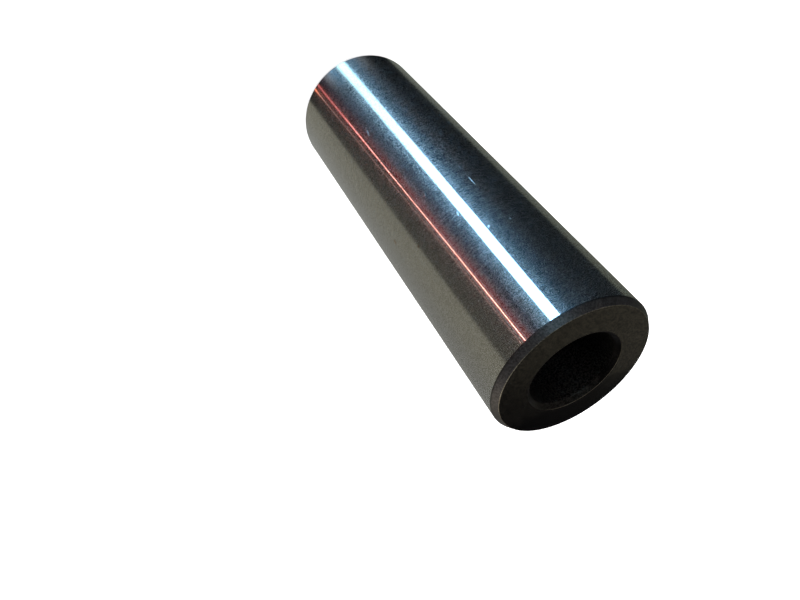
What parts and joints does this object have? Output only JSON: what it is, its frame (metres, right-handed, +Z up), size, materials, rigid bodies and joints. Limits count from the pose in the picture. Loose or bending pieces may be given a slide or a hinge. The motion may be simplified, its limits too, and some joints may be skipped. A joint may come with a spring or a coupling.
{
  "type": "gudgeon pin",
  "caption": "Hollow ground steel pin with flat chamfered ends and a straight through bore. It joins a piston to the small end of its connecting rod.",
  "frame": {"origin": "centre of the lower end face, which the pin stands on", "axes": "+Z up along the pin's axis; X and Y lie in the end face and are arbitrary, since the pin is turned"},
  "size_m": [0.022, 0.022, 0.0685],
  "materials": {
    "hardened_steel": "case-hardened steel, outside ground and lapped to a near mirror, ends and chamfers turned and left dull grey, bore dark"
  },
  "bodies": {
    "root": {"gudgeon_pin": "hardened_steel"}
  },
  "joints": []
}
